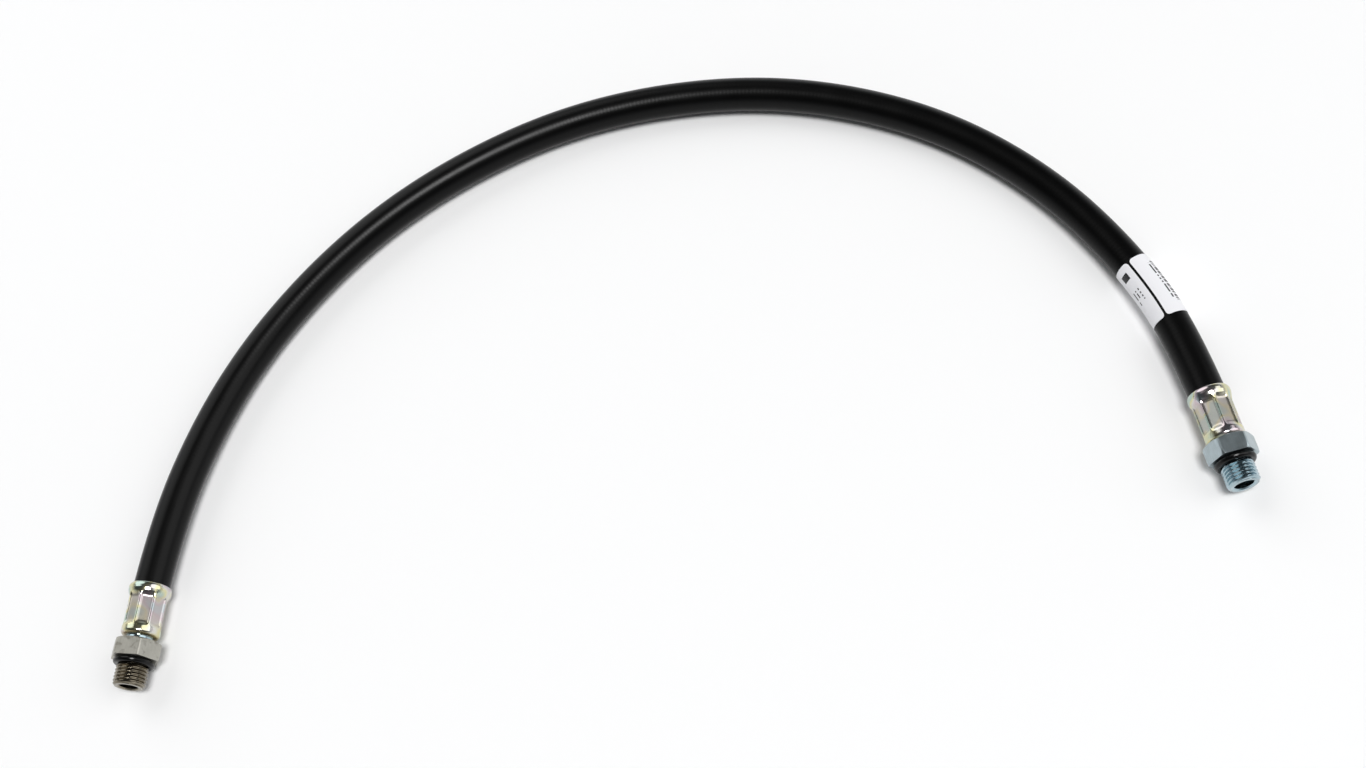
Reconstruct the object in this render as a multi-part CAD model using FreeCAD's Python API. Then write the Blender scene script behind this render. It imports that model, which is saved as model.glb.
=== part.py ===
"""Hydraulic hose assembly: a wire-braided rubber hose with a crimped male stud end on each side.

The hose lies on a flat surface in one wide arc. One end is rigid: its tail, hexagon and threaded
stud are one turned piece. On the other end the hexagon and stud are a separate hollow piece,
held on a turned insert by a split ring, so that they spin freely while they are screwed in.
Lengths are in millimetres, Z is up and the surface is Z = 0.
"""
import FreeCAD, Part
import math
import os

Vector = FreeCAD.Vector

# Hose: bore and the walls of its layers, from the fluid outwards
BORE_RADIUS = 4.0
TUBE_WALL = 1.7
BRAID_WALL = 0.65
COVER_WALL = 1.4
FLOOR_GAP = 0.1  # under the cover, where the hose lies on the surface

# Label: one strip wrapped round the hose near the rigid end, its two ends nearly meeting
LABEL_FROM_LIP = 36.0
LABEL_LENGTH = 31.0
LABEL_THICKNESS = 0.15
LABEL_SLIT = 1.1
LABEL_SLIT_ANGLE = 20.0  # degrees round the hose, from straight up
ADHESIVE = 0.03

# Ferrule: a steel cup, bell-mouthed at the hose and turned in over the insert's groove
FERRULE_GRIP = 20.0  # length of hose inside it
FERRULE_WALL = 2.0  # outside the braid, at the ridges
COVER_HELD = 3.2  # length of cover inside the mouth; further in, the ferrule grips the braid
BELL_WALL = 1.3  # at the open end
BELL_LENGTH = 3.2
BELL_TAPER = 1.8
BELL_GAP = 0.1  # between the mouth and the hose
SHOULDER_RADIUS = 1.8
PANELS = 8
PANEL_DEPTH = 1.0
PANEL_WIDTH = 5.1
PANEL_RAMP = 2.3  # sloped ends of a panel, per millimetre of depth
PANEL_FROM_LIP = 6.65
PANEL_FROM_END = 6.0

# Insert: the turned piece inside the hose
TAIL_WALL = 1.25
TAIL_FROM_LIP = 1.0
TAIL_GROOVES = 5
TAIL_GROOVE_DEPTH = 0.4
TAIL_LAND = 1.2
COLLAR_LENGTH = 1.2
COLLAR_GAP = 0.05
LOCK_GROOVE_DEPTH = 1.25
LOCK_LIP = 1.75  # thickness of the ferrule's turned-in end
LOCK_GAP = 0.05
NECK_RADIUS = 5.8
NECK_LENGTH = 2.0  # seen between the ferrule and the swivel's hexagon
SEAT_GAP = 0.15  # between the ferrule and the rigid end's hexagon

# Stud: M14 x 1.5 thread below a 19 mm hexagon, with a relief groove that holds the port O-ring
HEX_ACROSS_FLATS = 19.0
HEX_LENGTH = 8.0
HEX_FACE_INSET = 0.3  # round face of the hexagon, inside its flats
HEX_CHAMFER_ANGLE = 30.0
THREAD_RADIUS = 7.0
THREAD_PITCH = 1.5
THREAD_DEPTH = 0.92
THREAD_CREST = 0.19
THREAD_HALF_ANGLE = 30.0
STUD_LENGTH = 12.0
STUD_CHAMFER = 0.85
STUD_BORE_RADIUS = 4.1
STUD_BORE_INTO_HEX = 1.5
MOUTH_BEVEL = 0.5
PORT_RING_SECTION = 2.8
PORT_RING_SQUEEZE = 0.03
PORT_RING_GAP = 0.03  # between the ring and the hexagon
RELIEF_UNDERCUT = 0.03  # below the thread's root
RELIEF_SPARE = 0.1  # longer than the ring that it holds

# Swivel: the insert's spigot turns in the hollow hexagon
SPIGOT_CLEARANCE = 0.05
SPIGOT_END_GAP = 0.3
SNAP_WIRE_RADIUS = 0.6
SNAP_CLEARANCE = 0.05
SNAP_OPENING = 40.0
GLAND_DEPTH = 1.2
GLAND_LENGTH = 2.7
GLAND_FROM_END = 0.4
GLAND_CLEARANCE = 0.03
BACKUP_LENGTH = 0.95

TIP_CHAMFER = 0.4
FULL_TURN = 360.0

# Sizes that follow from the ones above
TUBE_RADIUS = BORE_RADIUS + TUBE_WALL
BRAID_RADIUS = TUBE_RADIUS + BRAID_WALL
COVER_RADIUS = BRAID_RADIUS + COVER_WALL
COVER_STRIPPED = FERRULE_GRIP - COVER_HELD
BELL_RADIUS = COVER_RADIUS + BELL_GAP + BELL_WALL
FERRULE_RADIUS = BRAID_RADIUS + FERRULE_WALL
TAIL_LENGTH = FERRULE_GRIP - TAIL_FROM_LIP
TAIL_BORE_RADIUS = BORE_RADIUS - TAIL_WALL
COLLAR_RADIUS = BRAID_RADIUS - COLLAR_GAP
LOCK_GROOVE_RADIUS = COLLAR_RADIUS - LOCK_GROOVE_DEPTH
SPIGOT_BORE_RADIUS = NECK_RADIUS + SPIGOT_CLEARANCE
SNAP_RADIUS = NECK_RADIUS + SPIGOT_CLEARANCE / 2  # half in the spigot and half in the hexagon
THREAD_ROOT = THREAD_RADIUS - THREAD_DEPTH
RELIEF_RADIUS = THREAD_ROOT - RELIEF_UNDERCUT
RELIEF_LENGTH = PORT_RING_SECTION + RELIEF_SPARE
PORT_RING_MIDDLE = RELIEF_RADIUS + PORT_RING_SECTION / 2 - PORT_RING_SQUEEZE
STUD_BORE_LENGTH = STUD_LENGTH + STUD_BORE_INTO_HEX

# Stations along a fitting: zero is the end of the hose, outwards is positive
FERRULE_END = COLLAR_LENGTH + LOCK_LIP + 2 * LOCK_GAP
RIGID_HEX_START = FERRULE_END + SEAT_GAP
SWIVEL_HEX_START = FERRULE_END + NECK_LENGTH

# Route of the hose, from the end in the swivel fitting to the end in the rigid fitting.
# Each fitting rests on a flat of its hexagon, or on its bell or port ring where that is larger.
AXIS_HEIGHT = max(HEX_ACROSS_FLATS / 2, BELL_RADIUS, PORT_RING_MIDDLE + PORT_RING_SECTION / 2)
HOSE_HEIGHT = COVER_RADIUS + FLOOR_GAP
HALFWAY = (AXIS_HEIGHT + HOSE_HEIGHT) / 2
ROUTE = [
    (-231, 4, AXIS_HEIGHT),
    (-220, 48, AXIS_HEIGHT),
    (-197, 98, HALFWAY),
    (-168, 138, HOSE_HEIGHT),
    (-129, 173, HOSE_HEIGHT),
    (-86, 198, HOSE_HEIGHT),
    (-35, 215, HOSE_HEIGHT),
    (14, 220, HOSE_HEIGHT),
    (67, 214, HOSE_HEIGHT),
    (114, 197, HOSE_HEIGHT),
    (156, 170, HOSE_HEIGHT),
    (191, 132, HOSE_HEIGHT),
    (215, 88, HALFWAY),
    (229, 44, AXIS_HEIGHT),
    (233, -2, AXIS_HEIGHT),
]
ARC_SHARE = 0.45  # part of the shorter run that an arc takes up on each side of its point


def revolved(outline):
    """Closed outline of (radius, station) points, turned about the Z axis."""
    points = [Vector(radius, 0, station) for radius, station in outline]
    face = Part.Face(Part.makePolygon(points + points[:1]))
    return face.revolve(Vector(), Vector(0, 0, 1), FULL_TURN)


def ring(radius_in, radius_out, start, end):
    """Plain ring with square edges."""
    outline = [(radius_in, start), (radius_out, start), (radius_out, end), (radius_in, end)]
    return revolved(outline)


def torus(major, minor, station):
    """Ring of round section."""
    return Part.makeTorus(major, minor, Vector(0, 0, station), Vector(0, 0, 1))


def circle_edge(solid, radius, station):
    """The round edge of a turned piece at one radius and station."""
    for edge in solid.Edges:
        curve = edge.Curve
        if isinstance(curve, Part.Circle) and abs(curve.Radius - radius) < 1e-6:
            if abs(curve.Center.z - station) < 1e-6:
                return edge
    raise ValueError(f"no round edge of radius {radius} at {station}")


# ---------------------------------------------------------------- route of the hose

def route_pieces(points):
    """Straight runs and the arcs between them, each as (kind, start, end, centre, length)."""
    points = [Vector(*point) for point in points]
    pieces = []
    at = points[0]
    for before, corner, after in zip(points, points[1:], points[2:]):
        run_in, run_out = corner - before, after - corner
        turn = run_in.getAngle(run_out)
        tangent = ARC_SHARE * min(run_in.Length, run_out.Length)
        radius = tangent / math.tan(turn / 2)
        start = corner - run_in.normalize() * tangent
        end = corner + run_out.normalize() * tangent
        inward = (run_out - run_in).normalize()
        centre = corner + inward * math.hypot(radius, tangent)
        pieces.append(("line", at, start, None, at.distanceToPoint(start)))
        pieces.append(("arc", start, end, centre, radius * turn))
        at = end
        print(f"hose bend: radius {radius:.0f}, turn {math.degrees(turn):.1f} degrees")
    pieces.append(("line", at, points[-1], None, at.distanceToPoint(points[-1])))
    return pieces


def point_on(piece, share):
    """Point a given share of the way along a piece of the route."""
    kind, start, end, centre, _ = piece
    if kind == "line":
        return start + (end - start) * share
    first, last = start - centre, end - centre
    turn = first.getAngle(last)
    rotation = FreeCAD.Rotation(first.cross(last), math.degrees(turn * share))
    return centre + rotation.multVec(first)


def route_wire(pieces, begin, finish):
    """Wire along the route between two distances from its start."""
    edges = []
    passed = 0.0
    for piece in pieces:
        length = piece[4]
        low = max(0.0, (begin - passed) / length)
        high = min(1.0, (finish - passed) / length)
        passed += length
        if high - low < 1e-6:
            continue
        start, end = point_on(piece, low), point_on(piece, high)
        if piece[0] == "line":
            edges.append(Part.LineSegment(start, end).toShape())
        else:
            middle = point_on(piece, (low + high) / 2)
            edges.append(Part.Arc(start, middle, end).toShape())
    return Part.Wire(edges)


def section_axes(wire):
    """Start of a wire, its direction there, and the level and upright directions across it."""
    edge = wire.Edges[0]
    start = edge.valueAt(edge.FirstParameter)
    along = edge.tangentAt(edge.FirstParameter)
    level = along.cross(Vector(0, 0, 1)).normalize()
    upright = level.cross(along).normalize()
    return start, along, level, upright


def hose_layer(pieces, radius_in, radius_out, begin, finish):
    """Tube of one layer of the hose, swept along the route."""
    wire = route_wire(pieces, begin, finish)
    start, along, _, _ = section_axes(wire)
    outer, inner = (
        Part.Face(Part.Wire(Part.Circle(start, along, radius).toShape()))
        for radius in (radius_out, radius_in)
    )
    solid = wire.makePipe(outer.cut(inner).Faces[0])
    expected = math.pi * (radius_out**2 - radius_in**2) * wire.Length
    print(f"layer {radius_in}-{radius_out}: length {wire.Length:.1f}, volume {solid.Volume / expected:.4f}")
    return solid


def label(pieces, length):
    """Strip wrapped round the hose, with a narrow slit left between its two ends."""
    finish = length - FERRULE_GRIP - LABEL_FROM_LIP
    wire = route_wire(pieces, finish - LABEL_LENGTH, finish)
    start, _, level, upright = section_axes(wire)
    inner = COVER_RADIUS + ADHESIVE
    outer = inner + LABEL_THICKNESS
    half_slit = LABEL_SLIT / 2 / outer

    def at(radius, angle):
        angle += math.radians(LABEL_SLIT_ANGLE)
        return start + upright * radius * math.cos(angle) + level * radius * math.sin(angle)

    first, middle, last = half_slit, math.pi, 2 * math.pi - half_slit
    outline = [
        Part.Arc(at(outer, first), at(outer, middle), at(outer, last)).toShape(),
        Part.LineSegment(at(outer, last), at(inner, last)).toShape(),
        Part.Arc(at(inner, last), at(inner, middle), at(inner, first)).toShape(),
        Part.LineSegment(at(inner, first), at(outer, first)).toShape(),
    ]
    return wire.makePipe(Part.Face(Part.Wire(outline)))


# ---------------------------------------------------------------- fittings, along +Z

def ferrule():
    """Crimped cup: bell mouth at the hose, eight pressed panels, end turned in over the insert."""
    mouth = -FERRULE_GRIP
    bell_in = COVER_RADIUS + BELL_GAP
    step = -COVER_STRIPPED + BELL_GAP
    lip_start = COLLAR_LENGTH + LOCK_GAP
    lip_radius = LOCK_GROOVE_RADIUS + LOCK_GAP
    outline = [
        (bell_in, mouth),
        (BELL_RADIUS, mouth),
        (BELL_RADIUS, mouth + BELL_LENGTH),
        (FERRULE_RADIUS, mouth + BELL_LENGTH + BELL_TAPER),
        (FERRULE_RADIUS, FERRULE_END),
        (lip_radius, FERRULE_END),
        (lip_radius, lip_start),
        (BRAID_RADIUS, lip_start),
        (BRAID_RADIUS, step),
        (bell_in, step),
    ]
    cup = revolved(outline)
    cup = cup.makeFillet(SHOULDER_RADIUS, [circle_edge(cup, FERRULE_RADIUS, FERRULE_END)])
    panel = crimp_panel()
    for number in range(PANELS):
        turned = panel.copy()
        turned.rotate(Vector(), Vector(0, 0, 1), FULL_TURN / PANELS * (number + 0.5))
        cup = cup.cut(turned)
    return cup


def crimp_panel():
    """Space pressed into the ferrule by one jaw: a flat floor with a sloped end each way."""
    floor = FERRULE_RADIUS - PANEL_DEPTH
    top = FERRULE_RADIUS + BELL_WALL
    reach = PANEL_RAMP * (top - floor)
    start = PANEL_FROM_LIP - FERRULE_GRIP
    end = FERRULE_END - PANEL_FROM_END
    outline = [(floor, start), (floor, end), (top, end + reach), (top, start - reach)]
    points = [Vector(radius, -PANEL_WIDTH / 2, station) for radius, station in outline]
    return Part.Face(Part.makePolygon(points + points[:1])).extrude(Vector(0, PANEL_WIDTH, 0))


def tail_outline():
    """Outer (radius, station) points of the part of an insert that sits in the hose."""
    crest, groove = BORE_RADIUS, BORE_RADIUS - TAIL_GROOVE_DEPTH
    points = [(crest - TIP_CHAMFER, -TAIL_LENGTH), (crest, -TAIL_LENGTH + 2 * TIP_CHAMFER)]
    step = (TAIL_LENGTH - 2 * TIP_CHAMFER - TAIL_LAND) / TAIL_GROOVES
    for number in range(TAIL_GROOVES):
        start = -TAIL_LENGTH + 2 * TIP_CHAMFER + number * step
        points += [(crest, start + TAIL_LAND), (groove, start + TAIL_LAND), (crest, start + step)]
    points += [(crest, 0), (COLLAR_RADIUS, 0), (COLLAR_RADIUS, COLLAR_LENGTH)]
    points += [(LOCK_GROOVE_RADIUS, COLLAR_LENGTH), (LOCK_GROOVE_RADIUS, FERRULE_END + LOCK_GAP)]
    return points


def stud_outline(hex_start):
    """Outer (radius, station) points of the core of the hexagon, the relief groove and the thread."""
    flank = THREAD_DEPTH * math.tan(math.radians(THREAD_HALF_ANGLE))
    thread_start = hex_start + HEX_LENGTH + RELIEF_LENGTH
    thread_end = hex_start + HEX_LENGTH + STUD_LENGTH
    chamfer_start = thread_end - STUD_CHAMFER
    points = [(RELIEF_RADIUS, hex_start), (RELIEF_RADIUS, thread_start)]
    crest = thread_start + flank
    while crest + THREAD_CREST < chamfer_start:
        crest_end = crest + THREAD_CREST
        points += [(THREAD_ROOT, crest - flank), (THREAD_RADIUS, crest)]
        points += [(THREAD_RADIUS, crest_end), (THREAD_ROOT, crest_end + flank)]
        crest += THREAD_PITCH
    # the last crest runs into the chamfer at the stud's end
    points[-1] = (THREAD_RADIUS, chamfer_start)
    points.append((THREAD_RADIUS - STUD_CHAMFER, thread_end))
    return points


def hexagon(start):
    """Spanner hexagon, its corners rounded off towards the hose."""
    corner = HEX_ACROSS_FLATS / 2 / math.cos(math.radians(30))
    angles = [math.radians(30 + 60 * number) for number in range(6)]
    points = [Vector(corner * math.cos(a), corner * math.sin(a), start) for a in angles]
    prism = Part.Face(Part.makePolygon(points + points[:1])).extrude(Vector(0, 0, HEX_LENGTH))
    face_radius = HEX_ACROSS_FLATS / 2 - HEX_FACE_INSET
    reach = corner + HEX_FACE_INSET
    rise = (reach - face_radius) * math.tan(math.radians(HEX_CHAMFER_ANGLE))
    outline = [
        (0, start),
        (face_radius, start),
        (reach, start + rise),
        (reach, start + HEX_LENGTH),
        (0, start + HEX_LENGTH),
    ]
    return prism.common(revolved(outline))


def stud_bore(mouth):
    """Bore of the stud, bevelled at its mouth."""
    floor = mouth - STUD_BORE_LENGTH
    rim = STUD_BORE_RADIUS + MOUTH_BEVEL
    return revolved([
        (0, floor),
        (STUD_BORE_RADIUS, floor),
        (STUD_BORE_RADIUS, mouth - MOUTH_BEVEL),
        (rim, mouth),
        (0, mouth),
    ])


def rigid_insert():
    """Tail, collar, hexagon and threaded stud, turned from one bar."""
    mouth = RIGID_HEX_START + HEX_LENGTH + STUD_LENGTH
    outline = tail_outline()
    outline[-1] = (LOCK_GROOVE_RADIUS, RIGID_HEX_START)
    outline += stud_outline(RIGID_HEX_START) + [(0, mouth), (0, -TAIL_LENGTH)]
    body = revolved(outline).fuse(hexagon(RIGID_HEX_START))
    through = Part.makeCylinder(TAIL_BORE_RADIUS, mouth + TAIL_LENGTH, Vector(0, 0, -TAIL_LENGTH))
    return body.cut(through).cut(stud_bore(mouth)).removeSplitter()


def swivel_stations():
    """Stations along the swivel: mouth, end of the cavity, end of the spigot, gland and split ring."""
    mouth = SWIVEL_HEX_START + HEX_LENGTH + STUD_LENGTH
    cavity_end = mouth - STUD_BORE_LENGTH
    spigot_end = cavity_end - SPIGOT_END_GAP
    gland_end = spigot_end - GLAND_FROM_END
    gland_start = gland_end - GLAND_LENGTH
    snap = (SWIVEL_HEX_START + TIP_CHAMFER + gland_start) / 2
    return mouth, cavity_end, spigot_end, gland_start, gland_end, snap


def swivel_insert():
    """Tail and collar like the rigid end's, with a spigot that carries the seal."""
    _, _, spigot_end, gland_start, gland_end, snap = swivel_stations()
    gland_radius = NECK_RADIUS - GLAND_DEPTH
    outline = tail_outline()
    outline += [
        (NECK_RADIUS, FERRULE_END + LOCK_GAP),
        (NECK_RADIUS, gland_start),
        (gland_radius, gland_start),
        (gland_radius, gland_end),
        (NECK_RADIUS, gland_end),
        (NECK_RADIUS, spigot_end - TIP_CHAMFER / 2),
        (NECK_RADIUS - TIP_CHAMFER / 2, spigot_end),
        (TAIL_BORE_RADIUS, spigot_end),
        (TAIL_BORE_RADIUS, -TAIL_LENGTH),
    ]
    groove = torus(SNAP_RADIUS, SNAP_WIRE_RADIUS + SNAP_CLEARANCE, snap)
    return revolved(outline).cut(groove)


def swivel_stud():
    """Hollow hexagon and threaded stud that turns on the spigot."""
    mouth, cavity_end, _, _, _, snap = swivel_stations()
    outline = [(0, SWIVEL_HEX_START)] + stud_outline(SWIVEL_HEX_START) + [(0, mouth)]
    body = revolved(outline).fuse(hexagon(SWIVEL_HEX_START))
    entry = SPIGOT_BORE_RADIUS + TIP_CHAMFER
    cavity = revolved([
        (0, SWIVEL_HEX_START),
        (entry, SWIVEL_HEX_START),
        (SPIGOT_BORE_RADIUS, SWIVEL_HEX_START + TIP_CHAMFER),
        (SPIGOT_BORE_RADIUS, cavity_end),
        (0, cavity_end),
    ])
    groove = torus(SNAP_RADIUS, SNAP_WIRE_RADIUS + SNAP_CLEARANCE, snap)
    return body.cut(cavity).cut(stud_bore(mouth)).cut(groove).removeSplitter()


def snap_ring():
    """Split ring of round wire that holds the hexagon on the spigot."""
    snap = swivel_stations()[-1]
    section = Part.Circle(Vector(SNAP_RADIUS, 0, snap), Vector(0, 1, 0), SNAP_WIRE_RADIUS)
    disc = Part.Face(Part.Wire(section.toShape()))
    return disc.revolve(Vector(), Vector(0, 0, 1), FULL_TURN - SNAP_OPENING)


def swivel_seal():
    """O-ring of the spigot, in its gland."""
    _, _, _, _, gland_end, _ = swivel_stations()
    depth = GLAND_DEPTH + SPIGOT_CLEARANCE
    section = depth / 2 - GLAND_CLEARANCE
    middle = NECK_RADIUS - GLAND_DEPTH + depth / 2
    return torus(middle, section, gland_end - GLAND_CLEARANCE - section)


def backup_ring():
    """Flat plastic ring that keeps the spigot's O-ring from creeping into the gap."""
    _, _, _, gland_start, _, _ = swivel_stations()
    start = gland_start + GLAND_CLEARANCE
    inner = NECK_RADIUS - GLAND_DEPTH + GLAND_CLEARANCE
    return ring(inner, SPIGOT_BORE_RADIUS - GLAND_CLEARANCE, start, start + BACKUP_LENGTH)


def port_ring(hex_start):
    """O-ring in the relief groove, stretched a little over it."""
    section = PORT_RING_SECTION / 2
    station = hex_start + HEX_LENGTH + PORT_RING_GAP + section
    return torus(PORT_RING_MIDDLE, section, station)


# ---------------------------------------------------------------- assembly

def end_placement(hose_end, next_point):
    """Puts a fitting on the end of the hose, pointing away from it, one hexagon flat down."""
    hose_end, next_point = Vector(*hose_end), Vector(*next_point)
    outward = (hose_end - next_point).normalize()
    up = Vector(0, 0, 1)
    side = outward.cross(up)
    matrix = FreeCAD.Matrix(
        up.x, side.x, outward.x, hose_end.x,
        up.y, side.y, outward.y, hose_end.y,
        up.z, side.z, outward.z, hose_end.z,
        0, 0, 0, 1,
    )
    return FreeCAD.Placement(matrix)


def placed(pieces, placement):
    """The same pieces, moved from the fitting's own axis to where they lie."""
    for solid in pieces.values():
        solid.Placement = placement.multiply(solid.Placement)
    return pieces


def assembly():
    """Every piece by its name."""
    pieces = route_pieces(ROUTE)
    length = sum(piece[4] for piece in pieces)
    hose = {
        "hose_inner_tube": hose_layer(pieces, BORE_RADIUS, TUBE_RADIUS, 0, length),
        "hose_wire_braid": hose_layer(pieces, TUBE_RADIUS, BRAID_RADIUS, 0, length),
        "hose_cover": hose_layer(
            pieces, BRAID_RADIUS, COVER_RADIUS, COVER_STRIPPED, length - COVER_STRIPPED
        ),
        "hose_label": label(pieces, length),
    }
    swivel_end = {
        "swivel_end_insert": swivel_insert(),
        "swivel_end_ferrule": ferrule(),
        "swivel_stud": swivel_stud(),
        "swivel_snap_ring": snap_ring(),
        "swivel_seal_ring": swivel_seal(),
        "swivel_backup_ring": backup_ring(),
        "swivel_port_ring": port_ring(SWIVEL_HEX_START),
    }
    rigid_end = {
        "rigid_end_insert": rigid_insert(),
        "rigid_end_ferrule": ferrule(),
        "rigid_port_ring": port_ring(RIGID_HEX_START),
    }
    placed(swivel_end, end_placement(ROUTE[0], ROUTE[1]))
    placed(rigid_end, end_placement(ROUTE[-1], ROUTE[-2]))
    return {**hose, **swivel_end, **rigid_end}


def main():
    os.makedirs("parts", exist_ok=True)
    for name, shape in assembly().items():
        solid = shape if shape.ShapeType == "Solid" else shape.Solids[0]
        print(f"{name}: {len(shape.Solids)} solid, {solid.Volume:.1f} mm3, valid {solid.isValid()}")
        solid.exportStep(f"parts/{name}.step")


main()
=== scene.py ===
"""Looks of a hydraulic hose assembly: wire-braided rubber hose, two crimped ferrules, a rigid and a
swivelling threaded stud. Metres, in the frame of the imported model. The hose's layers and its label
follow one smooth route. The fittings are built on their own axes and set on the hose's ends."""
import math

import bmesh
import bpy
from mathutils import Matrix, Vector


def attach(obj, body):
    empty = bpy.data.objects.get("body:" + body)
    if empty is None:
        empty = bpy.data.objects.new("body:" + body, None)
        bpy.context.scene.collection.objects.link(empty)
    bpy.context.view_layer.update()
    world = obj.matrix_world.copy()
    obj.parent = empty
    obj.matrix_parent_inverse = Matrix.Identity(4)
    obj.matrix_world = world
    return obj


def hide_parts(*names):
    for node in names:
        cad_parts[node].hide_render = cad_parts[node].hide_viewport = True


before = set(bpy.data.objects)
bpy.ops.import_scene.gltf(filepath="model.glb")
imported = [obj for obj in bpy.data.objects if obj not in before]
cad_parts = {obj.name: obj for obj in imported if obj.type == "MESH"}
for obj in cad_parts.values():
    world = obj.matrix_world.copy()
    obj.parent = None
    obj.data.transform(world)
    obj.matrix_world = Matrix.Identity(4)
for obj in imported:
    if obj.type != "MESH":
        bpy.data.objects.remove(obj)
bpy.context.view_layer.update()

TURN = 2 * math.pi

# Points nearer than this are one: on a turned piece, on the laid hose, on any mesh
WELD = 2e-6
LAID_WELD = 1e-6
SAME_POINT = 1e-7

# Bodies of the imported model
HOSE_BODY = "hose_and_rigid_end"
SWIVEL_BODY = "swivel"

# Hose, from the fluid outwards
BORE_RADIUS = 0.0040
TUBE_RADIUS = 0.0057
BRAID_RADIUS = 0.00635
BRAID_BUNDLES = 12  # each way round
BRAID_LAY = 0.0282  # length in which a bundle goes once round
COVER_RADIUS = 0.00775
COVER_GIRTH = round(TURN * COVER_RADIUS, 4)
FERRULE_GRIP = 0.020
COVER_STRIPPED = 0.0168
HOSE_COLUMNS = 72
HOSE_STEP = 0.0022
ROUTE_RESOLUTION = 32

# Route of the hose, from the end in the swivel fitting to the end in the rigid fitting
AXIS_HEIGHT = 0.0095
HOSE_HEIGHT = 0.00785
HALFWAY = (AXIS_HEIGHT + HOSE_HEIGHT) / 2
ROUTE = [
    (-0.231, 0.004, AXIS_HEIGHT),
    (-0.220, 0.048, AXIS_HEIGHT),
    (-0.197, 0.098, HALFWAY),
    (-0.168, 0.138, HOSE_HEIGHT),
    (-0.129, 0.173, HOSE_HEIGHT),
    (-0.086, 0.198, HOSE_HEIGHT),
    (-0.035, 0.215, HOSE_HEIGHT),
    (0.014, 0.220, HOSE_HEIGHT),
    (0.067, 0.214, HOSE_HEIGHT),
    (0.114, 0.197, HOSE_HEIGHT),
    (0.156, 0.170, HOSE_HEIGHT),
    (0.191, 0.132, HOSE_HEIGHT),
    (0.215, 0.088, HALFWAY),
    (0.229, 0.044, AXIS_HEIGHT),
    (0.233, -0.002, AXIS_HEIGHT),
]

# Label
LABEL_FROM_LIP = 0.036
LABEL_LENGTH = 0.031
LABEL_THICKNESS = 0.00015
LABEL_SLIT = 0.0011
LABEL_SLIT_ANGLE = math.radians(20)
LABEL_CORNER = 0.0016
LABEL_ROWS = 60
LABEL_CORNER_ROWS = 8
ADHESIVE = 0.00003
LABEL_GIRTH = TURN * (COVER_RADIUS + ADHESIVE)
# Print blocks: width of a cell, share of cells inked, edges along the label from its far end and
# edges across it from the slit. An edge below zero is counted back from the slit's other side
LABEL_PRINT = (
    (0.00038, 0.55, (0.0040, 0.0254), (-0.0118, -0.0088)),
    (0.00085, 0.75, (0.0050, 0.0240), (-0.0078, -0.0069)),
    (0.00340, 1.00, (0.0034, 0.0068), (0.0034, 0.0074)),
    (0.00090, 0.80, (0.0125, 0.0185), (0.0034, 0.0040)),
    (0.00070, 0.70, (0.0125, 0.0165), (0.0052, 0.0058)),
    (0.00110, 0.85, (0.0125, 0.0195), (0.0070, 0.0076)),
)

# Ferrule: station 0 is the end of the hose, outwards is positive
FERRULE_RADIUS = 0.00835
FERRULE_END = 0.00305
FERRULE_MOUTH = -FERRULE_GRIP
FERRULE_SKIN = 0.008  # what is farther out than this is its outside
BELL_RADIUS = 0.00915
BELL_INNER = 0.00785
BELL_ROLL = 0.0011  # radius of the rolled lip
BELL_ROLL_STRETCH = 1.6  # the lip is drawn out lengthwise by this
BELL_ROLL_STEPS = 8
# Slope from the bell down to the body: distance from the mouth, radius
BELL_SLOPE = (
    (0.0018, BELL_RADIUS),
    (0.0030, BELL_RADIUS - 0.00005),
    (0.0047, FERRULE_RADIUS + 0.0003),
    (0.0062, FERRULE_RADIUS),
)
LIP_RADIUS = 0.0051
SHOULDER = 0.0018
SHOULDER_STEPS = 12
SHOULDER_FILM_AND_SHADE = 0.0012  # width of the darker golden band on the turned-in end: partly passivation film, partly painted shade of the groove at the neck
FIT_GAP = 0.0001  # between the ferrule and the cut end of the cover
SEAT_GAP = 0.00005  # between the collar and the ferrule's turned-in end
# Flats pressed by the jaws: how far they lie from the axis, their ends, half their width, and the
# widths of the slopes at their sides and at their ends
PANELS = 8
PANEL_FLOOR = 0.00735
PANEL_START = -0.01335
PANEL_END = -0.00295
PANEL_HALF = 0.00215
PANEL_SIDE = 0.0009
PANEL_SLOPE = 0.0026
PROFILE_STEP = 0.00022

# Insert, hexagon and stud
COLUMNS = 192
COLLAR_RADIUS = 0.0063
COLLAR_LENGTH = 0.0012
LOCK_RADIUS = 0.00505
TAIL_LENGTH = 0.019
TAIL_BORE = 0.00275
TAIL_CHAMFER = 0.0004
TAIL_GROOVES = 5
TAIL_GROOVE = 0.0004
TAIL_LAND = 0.0012
NECK_RADIUS = 0.0058
RIGID_HEX = 0.0032
SWIVEL_HEX = 0.00505
HEX_LENGTH = 0.008
HEX_FLATS = 0.019
HEX_FACE = 0.0092  # radius of the round face on the hose's side
HEX_SLOPE = math.tan(math.radians(30))  # chamfer round that face
HEX_MARGIN = 1e-5  # so that the flats' own end rows count as flats
EDGE_BREAK = 0.00012
CORNER_TAPER = 0.0003  # what the rigid end's corners lose at the seat
TAPER_LENGTH = 0.002
TAPER_STEPS = 8
THREAD_RADIUS = 0.007
THREAD_ROOT = 0.00608
THREAD_PITCH = 0.0015
THREAD_CREST = 0.00019
THREAD_FLANK = math.tan(math.radians(60))  # fall of a flank for each unit along the stud
THREAD_STEPS = 14  # rows in a pitch
THREAD_RUN_OUT = 1.2  # rise of the first turn for each unit along the stud
RELIEF_RADIUS = 0.00605
RELIEF_LENGTH = 0.0029
STUD_LENGTH = 0.012
STUD_BORE = 0.0041
STUD_BORE_INTO_HEX = 0.0015
MOUTH_BEVEL = 0.0005
SPIGOT_BORE = 0.00585
SPIGOT_LEAD = 0.0004
SPIGOT_END = 0.01125
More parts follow.
